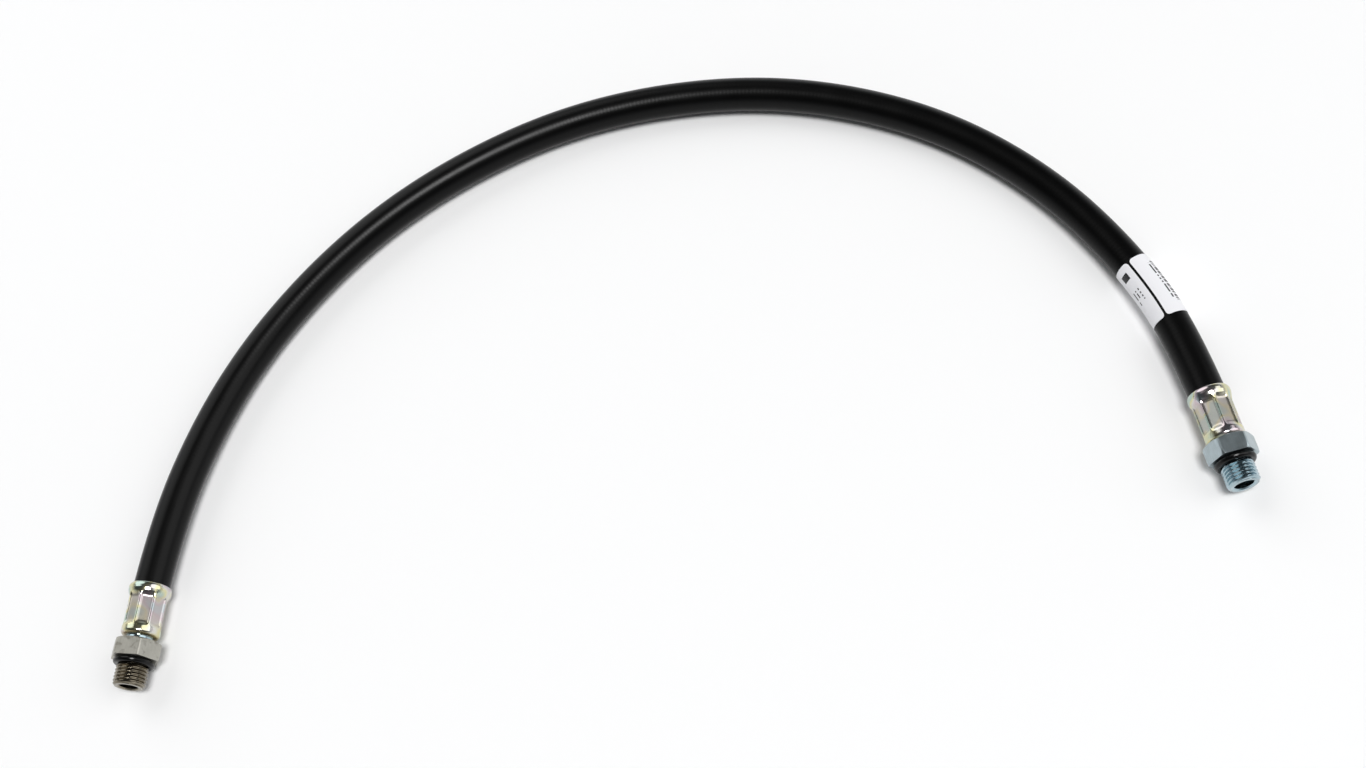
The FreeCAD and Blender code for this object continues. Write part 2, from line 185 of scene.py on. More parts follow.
SPIGOT_BEVEL = 0.0002
CAVITY_END = 0.01155
GLAND_START = 0.00815
GLAND_END = 0.01085
GLAND_RADIUS = 0.0046
RING_SECTION = 0.0014
RING_GAP = 0.00003
RING_STRETCH = 0.00003
RING_FLASH = 0.00004
RING_FLASH_ANGLE = 3
RING_STEPS = 44
SNAP_STATION = 0.0068
SNAP_GROOVE = 0.00065
SNAP_MIDDLE = NECK_RADIUS + 0.000025
SNAP_ANGLE = 88  # degrees from straight out to the edge of the groove
SNAP_STEPS = 10

# Floor, camera and lights
FLOOR_HALF = 12.0
LENS = 50.0
EYE = (0.0802, -0.300, 0.745)
TARGET = (0.0164, 0.0702, 0.008)
UPWARDS = (0.195, 0.883, 0.427)
# Sky: strength at the horizon and overhead, height from which it is darkest, tint
SKY_LOW = 0.9
SKY_HIGH = 0.07
SKY_REACH = 0.45
SKY_TINT = (0.95, 0.97, 1.0, 1.0)
# Each light: direction that it comes from, how many degrees wide, strength
LIGHTS = {
    "key_light": ((0.13, -0.25, 1.0), 22, 2.1),
    "back_light": ((-0.60, 0.85, 0.75), 50, 0.84),
    "side_light": ((0.95, 0.0, 0.80), 50, 0.84),
}


# ---------------------------------------------------------------- small tools

def node(tree, kind, inputs=None, out=0, **settings):
    """Adds a node with its settings, feeds its inputs with values or sockets, gives one output."""
    made = tree.nodes.new(kind)
    for key, value in settings.items():
        setattr(made, key, value)
    for key, value in (inputs or {}).items():
        if isinstance(value, bpy.types.NodeSocket):
            tree.links.new(value, made.inputs[key])
        else:
            made.inputs[key].default_value = value
    return made.outputs[out] if made.outputs else made


def colour(code):
    """Linear colour of an sRGB hex value such as "D8D0A8"."""
    parts = [int(code[at:at + 2], 16) / 255 for at in (0, 2, 4)]
    return [p / 12.92 if p <= 0.04045 else ((p + 0.055) / 1.055) ** 2.4 for p in parts] + [1.0]


def added(name, data):
    """Object of a mesh, curve, light or camera, linked to the scene, at the origin."""
    piece = bpy.data.objects.new(name, data)
    bpy.context.scene.collection.objects.link(piece)
    return piece


def rule_tree(name, sizes):
    """Geometry Nodes tree with a mesh in, a mesh out and a named input for each size."""
    tree = bpy.data.node_groups.new(name, "GeometryNodeTree")
    for side in ("INPUT", "OUTPUT"):
        tree.interface.new_socket("Geometry", in_out=side, socket_type="NodeSocketGeometry")
    for size, kind in sizes.items():
        tree.interface.new_socket(size, in_out="INPUT", socket_type="NodeSocket" + kind)
    return tree, tree.nodes.new("NodeGroupInput").outputs


def end_tree(tree, geometry, finish):
    """Closes a tree: real geometry, its material, the output."""
    real = node(tree, "GeometryNodeRealizeInstances", {0: geometry})
    painted = node(tree, "GeometryNodeSetMaterial", {"Geometry": real, "Material": finish})
    node(tree, "NodeGroupOutput", {0: painted})


def shaped(name, mesh, tree, sizes):
    """Runs a tree on a mesh with its named sizes and gives the result as a plain mesh."""
    holder = added(name, mesh)
    modifier = holder.modifiers.new(tree.name, "NODES")
    modifier.node_group = tree
    for socket in tree.interface.items_tree:
        if socket.in_out == "INPUT" and socket.name in sizes:
            modifier[socket.identifier] = sizes[socket.name]
    holder.update_tag()
    seen = holder.evaluated_get(bpy.context.evaluated_depsgraph_get())
    result = bpy.data.meshes.new_from_object(seen)
    holder.modifiers.remove(modifier)
    bpy.data.objects.remove(holder)
    return result


def fitted(piece, body, cad):
    """Says which body a piece rides on and hides the solid of the model that it stands for."""
    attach(piece, body)
    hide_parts(cad)
    return piece


def closed(mesh, sharp_from, moved=None):
    """Welds the seams of a mesh, turns its faces outwards and shades it smooth up to an angle."""
    work = bmesh.new()
    work.from_mesh(mesh)
    bmesh.ops.remove_doubles(work, verts=work.verts, dist=WELD)
    bmesh.ops.dissolve_degenerate(work, edges=work.edges, dist=SAME_POINT)
    bmesh.ops.recalc_face_normals(work, faces=work.faces)
    work.to_mesh(mesh)
    work.free()
    if moved is not None:
        mesh.transform(moved)
    mesh.shade_smooth()
    mesh.set_sharp_from_angle(angle=math.radians(sharp_from))
    return mesh


# ---------------------------------------------------------------- surfaces

def material(name, **values):
    """New material; the values go on the shader's own sockets."""
    made = bpy.data.materials.new(name)
    made.use_nodes = True
    shader = made.node_tree.nodes["Principled BSDF"]
    for key, value in values.items():
        shader.inputs[key.replace("_", " ")].default_value = value
    return made, made.node_tree, shader


def patchy_gloss(tree, shader, place, scale, detail, low, high):
    """Roughness that wanders between two values in patches."""
    patch = node(tree, "ShaderNodeTexNoise", {"Vector": place, "Scale": scale, "Detail": detail})
    rough = node(tree, "ShaderNodeMapRange", {"Value": patch, "To Min": low, "To Max": high})
    tree.links.new(rough, shader.inputs["Roughness"])


def speckled_tint(tree, shader, scale, tones):
    """Base colour that wanders between two tones in specks."""
    place = node(tree, "ShaderNodeTexCoord", out=3)
    speck = node(tree, "ShaderNodeTexNoise", {"Vector": place, "Scale": scale, "Detail": 3.0})
    tint = node(tree, "ShaderNodeMix", {0: speck, 6: colour(tones[0]), 7: colour(tones[1])},
                out=2, data_type="RGBA")
    tree.links.new(tint, shader.inputs["Base Color"])


def wrapped_rubber():
    """Black synthetic rubber cured under a wrapped tape: satin, with faint ripples across the
    hose where the tape's turns lay."""
    made, tree, shader = material(
        "wrapped_finish_rubber", Base_Color=colour("030303"), IOR=1.52, Specular_IOR_Level=0.15)
    place = node(tree, "ShaderNodeUVMap", uv_map="laid")
    scaled = node(tree, "ShaderNodeMapping", {"Vector": place, "Scale": (1, COVER_GIRTH, 1)})
    # Handled and clean patches 17 mm across, tape ripples 1.8 mm apart, the rubber's grain 0.4 mm
    patchy_gloss(tree, shader, scaled, 60.0, 4.0, 0.24, 0.36)
    ripple = node(tree, "ShaderNodeTexWave", {
        "Vector": scaled, "Scale": 175.0, "Distortion": 1.2, "Detail": 2.0, "Detail Scale": 1.5,
    }, out=1, bands_direction="X")
    grain = node(tree, "ShaderNodeTexNoise", {"Vector": scaled, "Scale": 2600.0, "Detail": 2.0})
    mixed = node(tree, "ShaderNodeMath", {0: ripple, 1: grain, 2: 0.5}, operation="MULTIPLY_ADD")
    bump = node(tree, "ShaderNodeBump", {"Height": mixed, "Strength": 0.3, "Distance": 0.00006})
    tree.links.new(bump, shader.inputs["Normal"])
    return made


def inner_rubber():
    """Extruded nitrile tube: black, smooth, a little glossier than the cover."""
    made, tree, shader = material("nitrile_tube", Base_Color=colour("141414"), IOR=1.52)
    place = node(tree, "ShaderNodeUVMap", uv_map="laid")
    patchy_gloss(tree, shader, place, 400.0, 3.0, 0.3, 0.42)  # marks of the die, 2.5 mm
    return made


def braided_wire():
    """Brass-coated high-tensile wire: bundles wound both ways at the neutral angle, with painted
    highlight on their crowns and painted shade where they cross under each other."""
    made, tree, shader = material("brassed_steel_braid", Metallic=1.0, Roughness=0.36)
    place = node(tree, "ShaderNodeUVMap", uv_map="laid")
    spread = node(tree, "ShaderNodeMapping", {
        "Vector": place, "Scale": (2 * BRAID_BUNDLES / BRAID_LAY, 2 * BRAID_BUNDLES, 1.0)})
    along = node(tree, "ShaderNodeSeparateXYZ", {0: spread})
    bands = []
    for way in ("ADD", "SUBTRACT"):
        wound = node(tree, "ShaderNodeMath", {0: along, 1: along.node.outputs[1]}, operation=way)
        bands.append(node(tree, "ShaderNodeMath", {0: wound, 1: 1.0}, operation="PINGPONG"))
    high = node(tree, "ShaderNodeMath", {0: bands[0], 1: bands[1]}, operation="MAXIMUM")
    # painted shade and highlight: low places of the weave darker, crowns brighter
    tint = node(tree, "ShaderNodeMix", {0: high, 6: colour("5E4E32"), 7: colour("C9AE78")},
                out=2, data_type="RGBA")
    tree.links.new(tint, shader.inputs["Base Color"])
    bump = node(tree, "ShaderNodeBump", {"Height": high, "Strength": 0.8, "Distance": 0.0002})
    tree.links.new(bump, shader.inputs["Normal"])
    return made


def printed(tree, along, across, edges):
    """Mask of one printed block between its low and high edges along and across the label."""
    masks = []
    for value, (low, high) in zip((along, across), edges):
        masks.append(node(tree, "ShaderNodeMath", {
            0: value, 1: (low + high) / 2, 2: (high - low) / 2}, operation="COMPARE"))
    return node(tree, "ShaderNodeMath", {0: masks[0], 1: masks[1]}, operation="MULTIPLY")


def label_vinyl():
    """White vinyl label: satin, with generic print in a ladder of bars, plain rules and a plain
    mark."""
    made, tree, shader = material("white_vinyl_film", IOR=1.5)
    place = node(tree, "ShaderNodeUVMap", uv_map="laid")
    along = node(tree, "ShaderNodeSeparateXYZ", {0: place})
    ink = None
    for step, fill, lengthwise, crosswise in LABEL_PRINT:
        back = LABEL_GIRTH if crosswise[0] < 0 else 0.0
        across = node(tree, "ShaderNodeMath", {
            0: along.node.outputs[1], 1: LABEL_GIRTH, 2: -back}, operation="MULTIPLY_ADD")
        cell = node(tree, "ShaderNodeMath", {0: along, 1: step}, operation="DIVIDE")
        cell = node(tree, "ShaderNodeMath", {0: cell}, operation="FLOOR")
        draw = node(tree, "ShaderNodeTexWhiteNoise", {"W": cell}, noise_dimensions="1D")
        shown = node(tree, "ShaderNodeMath", {0: draw, 1: fill}, operation="LESS_THAN")
        block = printed(tree, along, across, (lengthwise, crosswise))
        block = node(tree, "ShaderNodeMath", {0: block, 1: shown}, operation="MULTIPLY")
        ink = block if ink is None else node(tree, "ShaderNodeMath", {0: ink, 1: block},
                                             operation="MAXIMUM")
    tint = node(tree, "ShaderNodeMix", {0: ink, 6: colour("E9E9EC"), 7: colour("1C1C1E")},
                out=2, data_type="RGBA")
    tree.links.new(tint, shader.inputs["Base Color"])
    patchy_gloss(tree, shader, place, 300.0, 3.0, 0.28, 0.44)  # rubbed patches, 3.3 mm
    return made


def straw_zinc():
    """Zinc plate under a thin straw passivation: silver, straw and mauve films in broad patches,
    brighter on the drawn skin and frosted where the crimping jaws pressed it. The darker golden band
    at the turned-in end is partly film and partly painted shade of the groove at the neck."""
    made, tree, shader = material("passivated_zinc_plate", Metallic=1.0)
    place = node(tree, "ShaderNodeTexCoord", out=3)
    pressed = node(tree, "ShaderNodeAttribute", out=2, attribute_name="pressed")
    station = node(tree, "ShaderNodeAttribute", out=2, attribute_name="station")
    # Films in patches about 9 mm across
    film = node(tree, "ShaderNodeTexNoise", {"Vector": place, "Scale": 110.0, "Detail": 1.0})
    ramp = node(tree, "ShaderNodeValToRGB", {0: film})
    stops = ramp.node.color_ramp.elements
    stops[0].position, stops[0].color = 0.34, colour("B4C6BC")
    stops[1].position, stops[1].color = 0.66, colour("BFC8CC")
    for at, code in ((0.43, "D9D2A4"), (0.5, "D6D6CE"), (0.58, "CDBDC2")):
        stops.new(at).color = colour(code)
    worn = node(tree, "ShaderNodeMath", {0: pressed, 1: 0.55}, operation="MULTIPLY")
    tint = node(tree, "ShaderNodeMix", {0: worn, 6: ramp, 7: colour("AFA3A1")},
                out=2, data_type="RGBA")
    # painted shade: darker golden band towards the turned-in end, standing for the film and the
    # shade of the groove at the neck
    gold_film_and_shade = node(tree, "ShaderNodeMapRange", {
        "Value": station, "From Min": FERRULE_END - SHOULDER_FILM_AND_SHADE,
        "From Max": FERRULE_END - SHOULDER_FILM_AND_SHADE / 6, "To Max": 0.7})
    tint = node(tree, "ShaderNodeMix", {0: gold_film_and_shade, 6: tint, 7: colour("A08A54")},
                out=2, data_type="RGBA")
    tree.links.new(tint, shader.inputs["Base Color"])
    # Frost of the jaws: real specks are 0.05 mm, drawn at 0.3 mm so that they show
    speck = node(tree, "ShaderNodeTexNoise", {"Vector": place, "Scale": 3600.0, "Detail": 2.0})
    base = node(tree, "ShaderNodeMapRange", {"Value": pressed, "To Min": 0.1, "To Max": 0.24})
    rough = node(tree, "ShaderNodeMath", {0: speck, 1: 0.12, 2: base}, operation="MULTIPLY_ADD")
    tree.links.new(rough, shader.inputs["Roughness"])
    frost = node(tree, "ShaderNodeMapRange", {"Value": pressed, "To Min": 0.08, "To Max": 0.4})
    bump = node(tree, "ShaderNodeBump", {"Height": speck, "Strength": frost, "Distance": 0.00003})
    tree.links.new(bump, shader.inputs["Normal"])
    return made


def plated_bar(name, start, flat_tones, turned_tones, flat_rough, turned_rough, stain):
    """Plated hexagon bar: drawn streaks along the satin flats, glossier turned rings elsewhere, and
    stains on the flats as strong as the last value."""
    made, tree, shader = material(name, Metallic=1.0)
    place = node(tree, "ShaderNodeTexCoord", out=3)
    laid = node(tree, "ShaderNodeUVMap", uv_map="turned")
    station = node(tree, "ShaderNodeAttribute", out=2, attribute_name="station")
    on_hex = node(tree, "ShaderNodeMath", {
        0: station, 1: start + HEX_LENGTH / 2, 2: HEX_LENGTH / 2 + HEX_MARGIN}, operation="COMPARE")
    # Clouds 4 mm across, drawn streaks 8 mm long and 0.2 mm wide, turned rings 0.2 mm apart. Real
    # streaks and rings are 0.05 mm, and are drawn coarser so that they show
    cloud = node(tree, "ShaderNodeTexNoise", {"Vector": place, "Scale": 230.0, "Detail": 4.0})
    drawn = node(tree, "ShaderNodeMapping", {"Vector": laid, "Scale": (120.0, 260.0, 1.0)})
    streak = node(tree, "ShaderNodeTexNoise", {"Vector": drawn, "Scale": 1.0, "Detail": 2.0})
    rings = node(tree, "ShaderNodeMapping", {"Vector": laid, "Scale": (5000.0, 4.0, 1.0)})
    ring = node(tree, "ShaderNodeTexNoise", {"Vector": rings, "Scale": 1.0, "Detail": 1.0})
    fade = node(tree, "ShaderNodeMath", {0: cloud, 1: streak}, operation="MULTIPLY")
    fade = node(tree, "ShaderNodeMapRange", {"Value": fade, "From Min": 0.05, "From Max": 0.45})
    tints = [
        node(tree, "ShaderNodeMix", {0: fade, 6: colour(dark), 7: colour(light)},
             out=2, data_type="RGBA")
        for dark, light in (turned_tones, flat_tones)
    ]
    tint = node(tree, "ShaderNodeMix", {0: on_hex, 6: tints[0], 7: tints[1]},
                out=2, data_type="RGBA")
    # Stains 2 to 3 mm across, ragged at their edges
    blot = node(tree, "ShaderNodeTexNoise", {
        "Vector": place, "Scale": 380.0, "Detail": 6.0, "Distortion": 0.3})
    mark = node(tree, "ShaderNodeMapRange", {
        "Value": blot, "From Min": 0.54, "From Max": 0.68, "To Max": stain})
    mark = node(tree, "ShaderNodeMath", {0: mark, 1: on_hex}, operation="MULTIPLY")
    tint = node(tree, "ShaderNodeMix", {0: mark, 6: tint, 7: colour("5B564D")},
                out=2, data_type="RGBA")
    tree.links.new(tint, shader.inputs["Base Color"])
    marks = node(tree, "ShaderNodeMix", {0: on_hex, 2: ring, 3: streak}, data_type="FLOAT")
    bump = node(tree, "ShaderNodeBump", {"Height": marks, "Strength": 0.12, "Distance": 0.00003})
    tree.links.new(bump, shader.inputs["Normal"])
    base = node(tree, "ShaderNodeMix", {0: on_hex, 2: turned_rough, 3: flat_rough},
                data_type="FLOAT")
    rough = node(tree, "ShaderNodeMath", {0: cloud, 1: 0.1, 2: base}, operation="MULTIPLY_ADD")
    tree.links.new(rough, shader.inputs["Roughness"])
    return made


def blue_zinc(start):
    """Zinc plate, clear blue passivated: cool grey and satin on the flats, teal on the thread."""
    return plated_bar("blue_passivated_zinc", start, ("9AA6A8", "BAC7CD"), ("84A0A8", "C3D2DA"),
                      0.25, 0.1, 0.0)


def dull_nickel(start):
    """Nickel plate gone dull and warm: grey and stained on the flats; on the thread a darker brown,
    warm nickel with painted reflection of dark surroundings.
    """
    # painted reflection: the thread's dark turned tones stand for dark surroundings mirrored in warm
    # nickel
    return plated_bar("dull_nickel_plate", start, ("A19F96", "BFBDB4"), ("565044", "9C9484"),
                      0.33, 0.12, 0.5)


def seal_rubber():
    """Moulded nitrile O-ring wetted with assembly oil: black, with small sharp lights."""
    made, tree, shader = material(
        "moulded_nitrile", Base_Color=colour("050505"), IOR=1.52, Specular_IOR_Level=0.25)
    place = node(tree, "ShaderNodeTexCoord", out=3)
    patchy_gloss(tree, shader, place, 900.0, 3.0, 0.12, 0.24)  # oil in spots of 1.1 mm
    return made


def sintered_plastic():
    """Sintered PTFE: off-white, waxy, cloudy where the powder packed."""
    made, tree, shader = material("sintered_ptfe", IOR=1.36, Roughness=0.4)
    speckled_tint(tree, shader, 700.0, ("DAD8CF", "EFEDE6"))  # clouds of 1.4 mm
    return made


def spring_steel():
    """Drawn spring steel wire with a thin oxide: mid grey, finely mottled."""
    made, tree, shader = material("drawn_spring_steel", Metallic=1.0, Roughness=0.3)
    speckled_tint(tree, shader, 1200.0, ("6F6F6E", "A3A3A0"))  # oxide spots of 0.8 mm
    return made


# ---------------------------------------------------------------- floor, light, camera

def studio():
    """Pale floor, soft lights and the camera."""
    mesh = bpy.data.meshes.new("floor")
    corners = [(-1, -1), (1, -1), (1, 1), (-1, 1)]
    mesh.from_pydata([(x * FLOOR_HALF, y * FLOOR_HALF, 0) for x, y in corners], [], [(0, 1, 2, 3)])
    floor = added("floor", mesh)
    mesh.materials.append(material("pale_floor", Base_Color=colour("F4F4F4"), Roughness=0.6)[0])

    # Pale all round near the floor and dark overhead, so that plated metal has something to mirror
    world = bpy.data.worlds.new("studio")
    bpy.context.scene.world = world
    world.use_nodes = True
    sky = world.node_tree
    height = node(sky, "ShaderNodeSeparateXYZ", {0: node(sky, "ShaderNodeTexCoord")}, out=2)
    glow = node(sky, "ShaderNodeMapRange", {
        "Value": height, "From Max": SKY_REACH, "To Min": SKY_LOW, "To Max": SKY_HIGH})
    backdrop = sky.nodes["Background"]
    backdrop.inputs["Color"].default_value = SKY_TINT
    sky.links.new(glow, backdrop.inputs["Strength"])

    for name, (away, spread, strength) in LIGHTS.items():
        data = bpy.data.lights.new(name, "SUN")
        data.angle = math.radians(spread)
        data.energy = strength
        light = added(name, data)
        light.rotation_mode = "QUATERNION"
        light.rotation_quaternion = Vector(away).to_track_quat("Z", "Y")

    camera = added("camera", bpy.data.cameras.new("camera"))
    camera.data.lens = LENS
    back = (Vector(EYE) - Vector(TARGET)).normalized()
    right = Vector(UPWARDS).cross(back).normalized()
    turn = Matrix((right, back.cross(right), back)).transposed()
    camera.matrix_world = Matrix.Translation(EYE) @ turn.to_4x4()
    bpy.context.scene.camera = camera
    bpy.context.scene.view_settings.view_transform = "Standard"


# ---------------------------------------------------------------- hose

def route_line():
    """The hose's smooth line, as the mesh of the NURBS curve's own points in order."""
    curve = bpy.data.curves.new("route", "CURVE")
    curve.dimensions = "3D"
    curve.resolution_u = ROUTE_RESOLUTION
    spline = curve.splines.new("NURBS")
    spline.points.add(len(ROUTE) - 1)
    for point, place in zip(spline.points, ROUTE):
        point.co = (*place, 1.0)
    spline.order_u = 3
    spline.use_endpoint_u = True
    holder = added("route", curve)
    bpy.context.view_layer.update()
    mesh = bpy.data.meshes.new_from_object(holder)
    bpy.data.objects.remove(holder)
    return mesh


def lay_tree():
    """Lays a flat pattern on the route: x is distance along it, y the angle from straight up and
    z the distance from its centreline."""
    tree, given = rule_tree("lay_on_route", {"Route": "Object", "Finish": "Material"})
    line = node(tree, "GeometryNodeObjectInfo", {"Object": given["Route"]}, out="Geometry")
    curve = node(tree, "GeometryNodeMeshToCurve", {"Mesh": line})
    level = node(tree, "GeometryNodeSetCurveNormal", {"Curve": curve}, mode="Z_UP")
    flat = node(tree, "GeometryNodeInputPosition")
    along = node(tree, "ShaderNodeSeparateXYZ", {0: flat})
    angle, reach = along.node.outputs[1], along.node.outputs[2]
    sample = node(tree, "GeometryNodeSampleCurve", {"Curves": level, "Length": along},
                  out="Position", mode="LENGTH", use_all_curves=True)
    tangent, side = sample.node.outputs["Tangent"], sample.node.outputs["Normal"]
    up = node(tree, "ShaderNodeVectorMath", {0: side, 1: tangent}, operation="CROSS_PRODUCT")
    parts = []
    for axis, turn in ((up, "COSINE"), (side, "SINE")):
        share = node(tree, "ShaderNodeMath", {0: angle}, operation=turn)
        far = node(tree, "ShaderNodeMath", {0: share, 1: reach}, operation="MULTIPLY")
        parts.append(node(tree, "ShaderNodeVectorMath", {0: axis, "Scale": far}, operation="SCALE"))
    away = node(tree, "ShaderNodeVectorMath", {0: parts[0], 1: parts[1]}, operation="ADD")
    place = node(tree, "ShaderNodeVectorMath", {0: sample, 1: away}, operation="ADD")
    laid = node(tree, "GeometryNodeSetPosition", {"Geometry": given["Geometry"], "Position": place})
    welded = node(tree, "GeometryNodeMergeByDistance", {"Geometry": laid, "Distance": LAID_WELD})
    end_tree(tree, welded, given["Finish"])
    return tree


def grid_mesh(name, rows, uv_name, uv):
    """Mesh of a grid of points, with a UV map that a function gives for each row and column."""
    wide = len(rows[0])
    points = [point for row in rows for point in row]
    faces = [
        (at * wide + k, at * wide + k + 1, (at + 1) * wide + k + 1, (at + 1) * wide + k)
        for at in range(len(rows) - 1)
        for k in range(wide - 1)
    ]
    mesh = bpy.data.meshes.new(name)
    mesh.from_pydata(points, [], faces)
    layer = mesh.uv_layers.new(name=uv_name)
    for loop in mesh.loops:
        layer.uv[loop.index].vector = uv(*divmod(loop.vertex_index, wide))
    return mesh


def layer_pattern(name, begin, finish, radius_in, radius_out):
    """Flat pattern of one layer of the hose: its outer wall, then its inner wall back again."""
    count = max(2, round((finish - begin) / HOSE_STEP))
    stations = [begin + (finish - begin) * at / count for at in range(count + 1)]
    section = [(s, radius_out) for s in stations] + [(s, radius_in) for s in reversed(stations)]
    section.append(section[0])
    angles = [TURN * k / HOSE_COLUMNS for k in range(HOSE_COLUMNS + 1)]
    rows = [[(s, angle, radius) for angle in angles] for s, radius in section]
    return grid_mesh(name, rows, "laid", lambda row, k: (section[row][0], angles[k] / TURN))


def label_pattern(name, begin, finish):
    """Flat pattern of the label: a sheet with rounded corners, not quite meeting round the hose."""
    inner = COVER_RADIUS + ADHESIVE
    outer = inner + LABEL_THICKNESS
    half = math.pi - LABEL_SLIT / 2 / outer
    centre = LABEL_SLIT_ANGLE + math.pi
    turns = [math.pi / 2 * k / LABEL_CORNER_ROWS for k in range(LABEL_CORNER_ROWS + 1)]
    ease = [begin + LABEL_CORNER * (1 - math.cos(turn)) for turn in turns]
    stations = [begin + (finish - begin) * at / LABEL_ROWS for at in range(LABEL_ROWS + 1)]
    straight = [s for s in stations if begin + LABEL_CORNER < s < finish - LABEL_CORNER]
    rows = []
    for s in ease + straight + [begin + finish - s for s in reversed(ease)]:
        inset = max(0.0, LABEL_CORNER - min(s - begin, finish - s))
        cut = LABEL_CORNER - math.sqrt(max(0.0, LABEL_CORNER**2 - inset**2))
        reach = half - cut / outer
        across = [-reach + 2 * reach * k / HOSE_COLUMNS for k in range(HOSE_COLUMNS + 1)]
        row = [(s, centre + a, outer) for a in across]
        row += [(s, centre + a, inner) for a in reversed(across)]
        rows.append(row + row[:1])

    def laid(row, k):
        s, angle = rows[row][k][:2]
        return s - begin, (angle - LABEL_SLIT_ANGLE) / TURN

    mesh = grid_mesh(name, rows, "laid", laid)
    work = bmesh.new()
    work.from_mesh(mesh)
    bmesh.ops.remove_doubles(work, verts=work.verts, dist=SAME_POINT)
    ends = [edge for edge in work.edges if edge.is_boundary]
    bmesh.ops.contextual_create(work, geom=ends)
    work.to_mesh(mesh)
    work.free()
    return mesh


def hose(line):
    """Inner tube, wire braid, cover and label, laid on the route."""
    points = [vertex.co.copy() for vertex in line.vertices]
    length = sum((b - a).length for a, b in zip(points, points[1:]))
    route = added("route", line)
    tree = lay_tree()
    layers = (
        ("hose_tube_layer", "hose_inner_tube", "tube_rubber", inner_rubber(),
         0, BORE_RADIUS, TUBE_RADIUS),
        ("hose_braid_layer", "hose_wire_braid", "braid_wire", braided_wire(),
         0, TUBE_RADIUS, BRAID_RADIUS),
        ("hose_cover_layer", "hose_cover", "cover_rubber", wrapped_rubber(),
         COVER_STRIPPED, BRAID_RADIUS, COVER_RADIUS),
    )
    for name, cad, slot, finish, cut, inner, outer in layers:
        flat = layer_pattern(name, cut, length - cut, inner, outer)
        mesh = shaped(name, flat, tree, {"Route": route, "Finish": finish})
        fitted(added(name, closed(mesh, sharp_from=40)), HOSE_BODY, cad)
    end = length - FERRULE_GRIP - LABEL_FROM_LIP
    flat = label_pattern("hose_label_film", end - LABEL_LENGTH, end)
    mesh = shaped("hose_label_film", flat, tree, {"Route": route, "Finish": label_vinyl()})
    label = added("hose_label_film", closed(mesh, sharp_from=50))
    fitted(label, HOSE_BODY, "hose_label")
    bpy.data.objects.remove(route)
    passed, path = 0.0, []
    for a, b in zip(points, points[1:]):
        if COVER_STRIPPED <= passed <= length - COVER_STRIPPED:
            path.append(a)
        passed += (b - a).length


# ---------------------------------------------------------------- fittings

def arc(radius_at, station_at, size, start, end, steps):
    """Points of a round corner of a section, angles in degrees from straight out."""
    turns = [math.radians(start + (end - start) * k / steps) for k in range(steps + 1)]
    return [(radius_at + size * math.cos(a), station_at + size * math.sin(a)) for a in turns]


def stepped(section, step):
    """The section with its straight stretches divided into short ones."""
    points = []
    for (r0, s0), (r1, s1) in zip(section, section[1:]):
        count = max(1, math.ceil(math.hypot(r1 - r0, s1 - s0) / step))
        points += [(r0 + (r1 - r0) * k / count, s0 + (s1 - s0) * k / count) for k in range(count)]
    return points + [section[-1]]


def turned(name, section):
    """Mesh of a turned piece. A row of the section is (radius, station), or a function of the angle
    that gives them. Its UV map holds the distance along the section and the share of the turn."""
    angles = [TURN * k / COLUMNS for k in range(COLUMNS + 1)]
    rows = []
    for row in section:
        pairs = [row(angle) if callable(row) else row for angle in angles]
        rows.append([(r * math.cos(a), r * math.sin(a), s) for (r, s), a in zip(pairs, angles)])
    passed = [0.0]
    for before, after in zip(rows, rows[1:]):
        passed.append(passed[-1] + math.dist(before[0], after[0]))
    mesh = grid_mesh(name, rows, "turned", lambda row, k: (passed[row], k / COLUMNS))
    station = mesh.attributes.new("station", "FLOAT", "POINT")
    station.data.foreach_set("value", [point[2] for row in rows for point in row])
    return mesh


